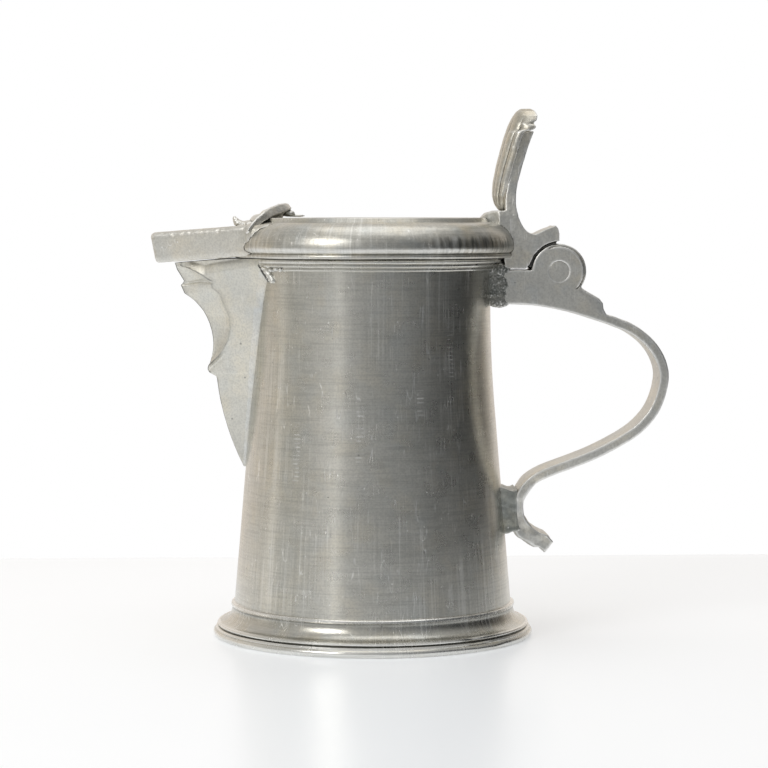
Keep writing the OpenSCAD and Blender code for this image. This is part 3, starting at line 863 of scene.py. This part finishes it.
def lumps(name, parts, voxel, ease, solids=()):
    """A cast shape fused from flattened balls, (centre, radii), and other solids, (points, faces)."""
    points, faces = [], []
    rows, columns = 14, 20
    for centre, radii in parts:
        start = len(points)
        for i in range(1, rows):
            for k in range(columns):
                a, b = math.pi * i / rows, 2 * math.pi * k / columns
                ball = (math.sin(a) * math.cos(b), math.sin(a) * math.sin(b), math.cos(a))
                points.append([c + r * v for c, r, v in zip(centre, radii, ball)])
        for i in range(rows - 2):
            for k in range(columns):
                a, b = start + i * columns + k, start + i * columns + (k + 1) % columns
                faces.append((a, a + columns, b + columns, b))
        faces.append(tuple(range(start, start + columns)))
        faces.append(tuple(reversed(range(start + (rows - 2) * columns, start + (rows - 1) * columns))))
    for more_points, more_faces in solids:
        start = len(points)
        points += [list(p) for p in more_points]
        faces += [tuple(start + k for k in face) for face in more_faces]
    return remeshed(build(name, points, faces), name, voxel, ease)


def lid_block():
    """The lid as a full solid, to trim what is soldered on to it."""
    shoulder_z = LID_Z + 3.8
    platform_r = LID_R - 10
    outline = (
        [(0.01, LID_Z - 3), (LID_R - 1.2, LID_Z - 3), (LID_R - 1.2, LID_Z + 1.7)]
        + [(LID_R - 0.25, LID_Z + 2.9)]
        + arc((LID_R - 9.7, shoulder_z), 9.65, 9.25, 0, 88, 26)
        + [(platform_r, LID_TOP[2] - 1.7), (platform_r, LID_TOP[2] - 0.05), (0.01, LID_TOP[2] - 0.05)]
    )
    return turned_piece("lid_block", outline, sharp=35)


COVER_SPREAD, COVER_SLOPE = 29.5, 4.5  # degrees: each side from the middle, and the top from level
COVER_TIP_Z = 151.5


def cover_ring(inset, height, towards_middle=0.0):
    """One ring of the cover: its plan moved inwards, at a height from its sloping top."""
    tip_w, corner, end_x = 4.6, 2.2, 46.0
    w = tip_w - inset
    side = []
    for a in np.radians(np.linspace(0, 90 - COVER_SPREAD, 9)):
        side.append((inset + corner * (1 - math.cos(a)), w - corner * (1 - math.sin(a))))
    last = side[-1]
    for t in np.linspace(0.03, 1, 36):
        x = last[0] + (end_x - last[0]) * t
        # Solder that flares out towards the lid, low down on the side
        fillet = min(2.0, math.exp((x - 35.3) / 1.5)) * rise(height, 0, -5)
        side.append((x, last[1] + (x - last[0]) * math.tan(math.radians(COVER_SPREAD)) + fillet))
    tip = [(inset, y) for y in np.linspace(-side[0][1], side[0][1], 7)[1:-1]]
    end = [(end_x, y) for y in np.linspace(side[-1][1], -side[-1][1], 30)[1:-1]]
    plan = side + end + [(x, -y) for x, y in reversed(side)] + tip
    slope = math.radians(COVER_SLOPE)
    ring = []
    for x, y in plan:
        x, y = x + (30 - x) * towards_middle, y * (1 - towards_middle)
        ring.append((
            COVER_FRONT + x * math.cos(slope) - height * math.sin(slope), y,
            COVER_TIP_Z + x * math.sin(slope) + height * math.cos(slope),
        ))
    return ring


def make_cover():
    rings = [cover_ring(1.3, 0.03, t) for t in (0.97, 0.8, 0.62, 0.45, 0.3, 0.18, 0.08, 0.03)]
    edge = [(1.3, 0), (0.85, -0.1), (0.45, -0.35), (0.15, -0.8), (0, -1.5)]
    side = [(0.1 * k, -1.5 - 1.15 * k) for k in range(1, 8)]
    foot = [(0.85, -10.2), (1.1, -10.9), (1.6, -11.35), (2.1, -11.4), (2.7, -11.3), (3.1, -10.7)]
    inside = [(2.9, -8), (2.6, -5), (2.5, -3), (3.2, -2.1)]
    rings += [cover_ring(*q) for q in edge + side + foot + inside]
    rings += [cover_ring(3.2, -2.0, t) for t in (0.1, 0.4, 0.9)]
    points, faces = tube_of_rings(rings)
    cover = build("cover_rough", points, faces, 60)
    cut(cover, lid_block())
    cover = remeshed(cover, "cover_casting", 0.3, 3)
    uneven(cover, (14, 0.2, 17), (4, 0.08, 18), (1.5, 0.04, 19))
    # Nicks along the edges
    edge = np.clip(-wear_and_shade(cover, 0.12, 6), 0, 1)
    co, out = surface(cover)
    co -= out * (edge * np.clip(waves(co, 1.9, 61), 0, 1) * 0.7)[:, None]
    set_coordinates(cover, co)
    dress(cover, "lid", "cast_pewter", "cover", "beak_cover")


# A wing of the leaf, from its low end on the shoulder to the lid's middle: x, y, z, half width, thickness
LEAF_BAND = np.array([
    (-46.8, 25.9, 151.8, 0.8, 0.8), (-45.6, 24.4, 153.4, 1.6, 1.2), (-43.6, 21.2, 155.2, 2.2, 1.6),
    (-41.2, 17.4, 156.9, 2.6, 1.9), (-39, 13.2, 158.0, 2.9, 2.0), (-36.4, 9, 159.1, 2.9, 2.0),
    (-34, 5.2, 159.8, 2.5, 1.8), (-33, 2.2, 160.1, 2.2, 1.6), (-32.6, 0, 160.1, 2.2, 1.5),
])


def leaf_wing(side):
    """One wing of the leaf: a blade with a raised rim behind and a scalloped edge in front."""
    section = [(-1, -0.6), (-1.05, 0), (-0.85, 0.5), (-0.45, 0.3), (0, 0.3), (0.35, 0.5)]
    section += [(0.6, 1), (0.85, 1.15), (1, 0.8), (1, -0.6)]
    under_lid, lobes, lobe_depth = np.array([-15, 0, 138]), 4, 0.22
    share = np.linspace(0, 1, 45)
    stations = share * (len(LEAF_BAND) - 1)
    line = np.stack([np.interp(stations, range(len(LEAF_BAND)), q) for q in LEAF_BAND.T], axis=1)
    line[:, 1] *= side
    ahead = np.gradient(line[:, :3], axis=0)
    rings = []
    for t, centre, wide, thick, forward in zip(share, line[:, :3], line[:, 3], line[:, 4], ahead):
        forward = forward / np.linalg.norm(forward)
        out = centre - under_lid
        out -= forward * (out @ forward)
        out /= np.linalg.norm(out)
        across = -side * np.cross(forward, out)
        lobe = 1 + lobe_depth * math.cos(2 * math.pi * lobes * t)
        ring = [(a * wide * (lobe if a < 0 else 1), h * thick) for a, h in section]
        rings.append([centre + across * a + out * h for a, h in ring])
    return tube_of_rings(rings)


def make_leaf():
    # The upright tip over the cover, the root below it, the middle and the thin tail over the lid
    parts = [
        ((-51.8, 0, 156.9), (0.7, 1.6, 0.9)), ((-51.2, 0, 156), (1.2, 2.4, 1.2)),
        ((-50.4, 0, 155.2), (1.8, 3, 1.3)), ((-48.6, 0, 154.7), (2, 3.8, 1.3)),
        ((-46, 0, 154.6), (3, 5, 1.7)), ((-42, 0, 156.2), (4, 7, 2.4)), ((-38, 0, 158), (4.5, 8, 2.6)),
        ((-29.4, 0, 157.9), (4.2, 1.1, 0.5)), ((-31.5, 0, 158.8), (2.4, 2.2, 1.2)),
        ((-32.8, 0, 160.1), (2.1, 1.8, 1.6)),
    ]
    for x, y, z, size in ((-49, 7, 153.6, (2.2, 3.4, 1)), (-47.6, 13.5, 153, (2.2, 3.2, 1))):
        parts += [((x, side * y, z), size) for side in (-1, 1)]
    leaf = lumps("leaf_ornament", parts, 0.24, 3, [leaf_wing(-1), leaf_wing(1)])
    cut(leaf, lid_block())
    uneven(leaf, (2.6, 0.14, 53), (0.9, 0.07, 54))
    wear_and_shade(leaf, 0.12, 7)
    dress(leaf, "lid", "cast_pewter", "leaf", "cover_leaf")


def make_solder_patch():
    """Rough solder smeared between the drum, the mouth ring and both sides of the handle's block."""
    parts = [((46.2, 0, 131), (2.2, 8.6, 6.5))]
    count = 60
    for k in range(count):
        a, b, c = (noise.noise(Vector((k * 3.7, 1.3 + q * 9.1, 0.4))) + 0.5 for q in range(3))
        place = (44.6 + 2.6 * a, 8.3 + 0.3 * b, 125.3 + 12.8 * (k + c) / count)
        size = (3.4 + 0.7 * b, 0.75 + 0.12 * a, 1.7 + 0.4 * c)
        for side in (-1, 1):
            parts.append(((place[0], side * place[1], place[2]), size))
    for side in (-1, 1):
        parts += [((47.6, side * 7.2, 139.3), (1.3, 1.9, 1.5)), ((47.0, side * 8.2, 138.0), (1.7, 1.0, 1.4))]
    patch = lumps("upper_solder_patch", parts, 0.25, 2)
    uneven(patch, (2.0, 0.16, 21), (0.7, 0.14, 22))
    wear_and_shade(patch, 0.12, 6)
    dress(patch, "vessel", "solder", "solder", "upper_solder")


def make_lower_pad():
    """The solder between the drum and the strap: a flat-sided filling, hollow at its top and bottom."""
    outline = [(drum_r(z) - 1.5, z) for z in (38.4, 42, 46, 50, 54, 56.4)]
    outline += [(50.2, 55.4), (51.6, 54.7), (53.0, 54.7), (54.2, 55.4), (54.1, 52), (54.0, 48), (54.3, 43)]
    outline += [(55.2, 39.8), (54.2, 39.2), (52.6, 39.4), (50.8, 38.6)]
    half = 9.1
    points, faces = tube_of_rings([[(x, y, z) for x, z in outline] for y in np.linspace(-half, half, 15)])
    pad = remeshed(build("lower_solder_pad", points, faces), "lower_solder_pad", 0.25, 7)
    uneven(pad, (5, 0.22, 23), (1.8, 0.12, 24))
    wear_and_shade(pad, 0.2, 5)
    dress(pad, "vessel", "solder", "pad", "lower_solder")


# Edge of the beak from the lip down to its point, as (x, z): a facet, a spur, a deep scallop, a second spur
# and a long tail
BEAK_EDGE = (
    [(-74.2, 143), (-73.4, 139.8), (-70.8, 134.3), (-71.3, 133.2), (-72, 132.4), (-71.5, 131)]
    + arc((-81.5, 110.2), 21.6, 21.6, 60, -20, 12)
    + [(-62, 101.4), (-62.1, 100.2), (-61.4, 99), (-60.2, 98.4), (-58.8, 97.6)]
    + arc((42.3, 108.9), 101.6, 101.6, 187, 206.5, 8)
)
# Ridge that bounds the bevelled facets behind the edge
BEAK_RIDGE = [
    (-72, 141.2), (-69.3, 140.2), (-66, 138.2), (-60.4, 133.9), (-60, 131), (-57.4, 128.8), (-55.7, 124.4),
    (-53.9, 120.1), (-53.5, 115.8), (-54.4, 111.4), (-56.5, 107.6), (-60.6, 103.2), (-61.6, 101),
]
BEAK_COVE = [
    (-70, 140.6), (-66, 138.2), (-63, 136.9), (-59.6, 137.7), (-50.8, 138.7), (-44, 140.4), (-38, 141.5),
]
BEAK_KEEL = [(-77, 143), (-73, 133), (-63, 99), (-61.5, 98.8), (-44, 60)]
BEAK_POINT_Z = 63.6
JOINT_ANGLE = 27.5
RIM_Z, RIM_SLOPE = 139.65, math.tan(math.radians(COVER_SLOPE))


def at_height(line, z):
    """The x of a line of (x, z) points at height z."""
    return np.interp(z, [q[1] for q in reversed(line)], [q[0] for q in reversed(line)])


def joint_angle(z):
    """Bearing of the joint with the drum from the middle of the beak, in radians."""
    share = max((z - BEAK_POINT_Z) / (140 - BEAK_POINT_Z), 0.0) ** 1.5
    return math.radians(0.7 + (JOINT_ANGLE - 0.7) * share)


def beak_width(x, z):
    """Half the beak's width at a place on its side: a flat panel, bevelled from the ridge to the edge."""
    edge, angle = at_height(BEAK_EDGE, z), joint_angle(z)
    joint_x, joint_y = -drum_r(z) * math.cos(angle), drum_r(z) * math.sin(angle)
    keel = min(at_height(BEAK_KEEL, z), edge)
    panel = 0.3 + (joint_y - 0.3) * rise(x, keel, joint_x)
    ridge = max(at_height(BEAK_RIDGE, z), edge + 0.25) if z > BEAK_RIDGE[-1][1] else edge + 0.25
    ridge_y = 0.3 + (joint_y - 0.3) * (ridge - keel) / (joint_x - keel)
    bevel = 0.3 + (ridge_y - 0.3) * rise(x, edge, ridge) ** 1.5
    width = np.where(x < ridge, bevel, panel)
    width = width + 0.35 * bell(x - ridge, 1.0) * rise(ridge, edge, edge + 4)
    # Hollow under the lid's cover, groove over the first spur and raised fold over the second
    cove = np.interp(x, [q[0] for q in BEAK_COVE], [q[1] for q in BEAK_COVE])
    width = width - 0.3 * np.clip(z - cove, 0, 4) ** 1.2 * rise(x, -71.5, -67.5)
    groove_z = np.interp(x, [-71.6, -64.6, -60], [133.0, 134.1, 133.5])
    width = width - 0.8 * bell(z - groove_z, 0.5) * rise(x, -59.6, -61.8)
    fold_z = 102.0 + (x + 61.6) * 0.88
    width = width + 0.9 * bell(z - fold_z, 0.75) * rise(x, -55, -58)
    width = width - 0.35 * bell(z - fold_z + 1.9, 0.8) * rise(x, -55, -58)
    return np.maximum(width, 0.12)


def rim_z(x):
    """Height of the beak's rim, just under the cover."""
    return np.minimum(RIM_Z + (x - COVER_FRONT) * RIM_SLOPE, MOUTH_Z - 0.1)


def beak_ring(level, side, across=54, wall=1.9):
    """One closed ring of a beak half: out along its side, into the drum, and back along the hollow."""
    edge, angle = at_height(BEAK_EDGE, level), joint_angle(level)
    joint_x = -drum_r(level) * math.cos(angle)
    share = np.linspace(0, 1, across) ** 1.15
    out_x = edge + (joint_x + 0.9 - edge) * share
    out_y = beak_width(np.minimum(out_x, joint_x), level)
    in_x = np.minimum(out_x[::-3] + 0.8, joint_x + 0.9)
    in_x = np.maximum(in_x, edge + 2.7)
    hollow = 1.0 if level > 98.5 else 0.0
    in_y = np.clip((beak_width(np.minimum(in_x, joint_x), level) - wall * 1.15) * hollow, 0, None)
    x = np.concatenate([[edge - 0.05], out_x, in_x])
    y = np.concatenate([[0.0], out_y, in_y])
    z = np.full(len(x), level)
    if level > 130:
        z = 130 + (level - 130) / (143 - 130) * (rim_z(x) - 130)
    return np.stack([x, side * y, z], axis=1)


def both_sides(name, ring, levels, sharp):
    """A left and a right piece through the ring at each level, one after the other."""
    for hand, side in (("left", -1), ("right", 1)):
        points, faces = tube_of_rings([ring(z, side) for z in levels])
        if side > 0:
            faces = [tuple(reversed(f)) for f in faces]
        yield hand, side, build(name + hand, points, faces, sharp)


def make_beak():
    levels = np.linspace(143, BEAK_POINT_Z, 240)
    for hand, side, half in both_sides("beak_half_", beak_ring, levels, 50):
        uneven(half, (11, 0.16, 31 + side), (3, 0.05, 35 + side))
        co = coordinates(half)
        co[:, 1] = side * np.maximum(side * co[:, 1], 0.0)
        set_coordinates(half, co)
        wear_and_shade(half, 0.45, 6)
        dress(half, "vessel", "cast_pewter", "beak", "beak_" + hand)


def solder_ring(z, side):
    """One ring of the solder run in the corner between the beak and the drum."""
    size = 0.35 + 0.65 * (z - BEAK_POINT_Z) / 76
    reach = 3.1 * size * (1 + 0.25 * noise.noise(Vector((z / 5, side, 3))))
    spread = 1.5 * size * (1 + 0.4 * noise.noise(Vector((z / 4, side, 8))))
    angle, r = joint_angle(z), drum_r(z)
    joint = np.array([-r * math.cos(angle), r * math.sin(angle)])
    on_beak = np.array([joint[0] - reach, float(beak_width(joint[0] - reach, z)) + 0.03])
    bearing = angle + spread / r
    on_drum = (r + 0.05) * np.array([-math.cos(bearing), math.sin(bearing)])
    middle = joint + np.array([-0.25, 0.55]) * size
    curve = np.linspace(0, 1, 9)
    ring = [(1 - t) ** 2 * on_beak + 2 * t * (1 - t) * middle + t * t * on_drum for t in curve]
    ring += [on_drum * (r - 0.4) / r, joint * (r - 0.4) / r, on_beak + np.array([0.3, -0.6])]
    return [(x, side * max(y, 0.02), z) for x, y in ring]


def make_beak_solder():
    levels = np.linspace(138.4, BEAK_POINT_Z + 0.6, 170)
    for hand, side, run in both_sides("solder_run_", solder_ring, levels, 60):
        uneven(run, (2.5, 0.1, 41 + side))
        dress(run, "vessel", "solder", "run", "beak_solder_" + hand)


def make_ring_ends():
    """Melted lumps of solder where the mouth ring stops at the beak, with dark lumps beside them that paint
    the shade of a crack.
    """
    crack_shade, melted = [], []
    for t in np.linspace(0, 1, 18):
        wobble = [noise.noise(Vector((t * q, q, 5))) for q in (7, 9, 11)]
        x, z = -43.6 + 4.4 * t + 0.3 * wobble[0], 140.9 - 6.9 * t
        r = drum_r(z) + 0.7 + 1.8 * (1 - t)
        crack_shade.append(((x, math.sqrt(r * r - x * x), z), (0.42 + 0.3 * wobble[1], 0.5, 0.5)))
        if t > 0.12:
            x += 1.9 + 0.8 * wobble[1]
            r = drum_r(z) - 0.1 + 1.3 * (1 - t)
            size = (1.5 + 0.6 * wobble[0], 0.9 + 0.3 * wobble[2], 1.0 + 0.6 * wobble[1])
            melted.append(((x, math.sqrt(r * r - x * x), z), size))
    for x, z, wide in ((-38.0, 137.9, 1.4), (-36.2, 138.3, 1.1), (-34.6, 138.1, 0.8), (-39.0, 139.6, 1.3)):
        r = drum_r(z) + 0.3 + 0.5 * (z - 137)
        melted.append(((x, math.sqrt(r * r - x * x), z), (wide, 0.9, 0.7)))
    # The crack lumps stand proud of the drum in a near black material: painted shade of a crack
    for name, parts, material in (("ring_end_crack_shade", crack_shade, "crack_shade"), ("ring_end_solder", melted, "run")):
        both = [((x, side * y, z), size) for (x, y, z), size in parts for side in (-1, 1)]
        lump = lumps(name, both, 0.2, 3)
        uneven(lump, (1.3, 0.25, 71))
        wear_and_shade(lump, 0.25, 5)
        dress(lump, "vessel", "solder", material)


def keep_cad_nodes():
    """The CAD nodes whose shape is right get only a better material."""
    for node, material in (("base_plate", "turned"), ("lid_bezel", "turned"), ("hinge_pin", "cast")):
        data = frame["nodes"][node].data
        data.materials.clear()
        data.materials.append(MATERIALS[material])


make_camera()
make_floor()
make_world()
make_lights()
make_materials()
make_drum()
make_foot()
make_mouth_ring()
make_lid()
make_handle()
make_plugs()
make_bracket()
make_thumbpiece()
make_cover()
make_leaf()
make_solder_patch()
make_lower_pad()
make_beak()
make_beak_solder()
make_ring_ends()
keep_cad_nodes()
bpy.context.scene.view_settings.view_transform = "Standard"
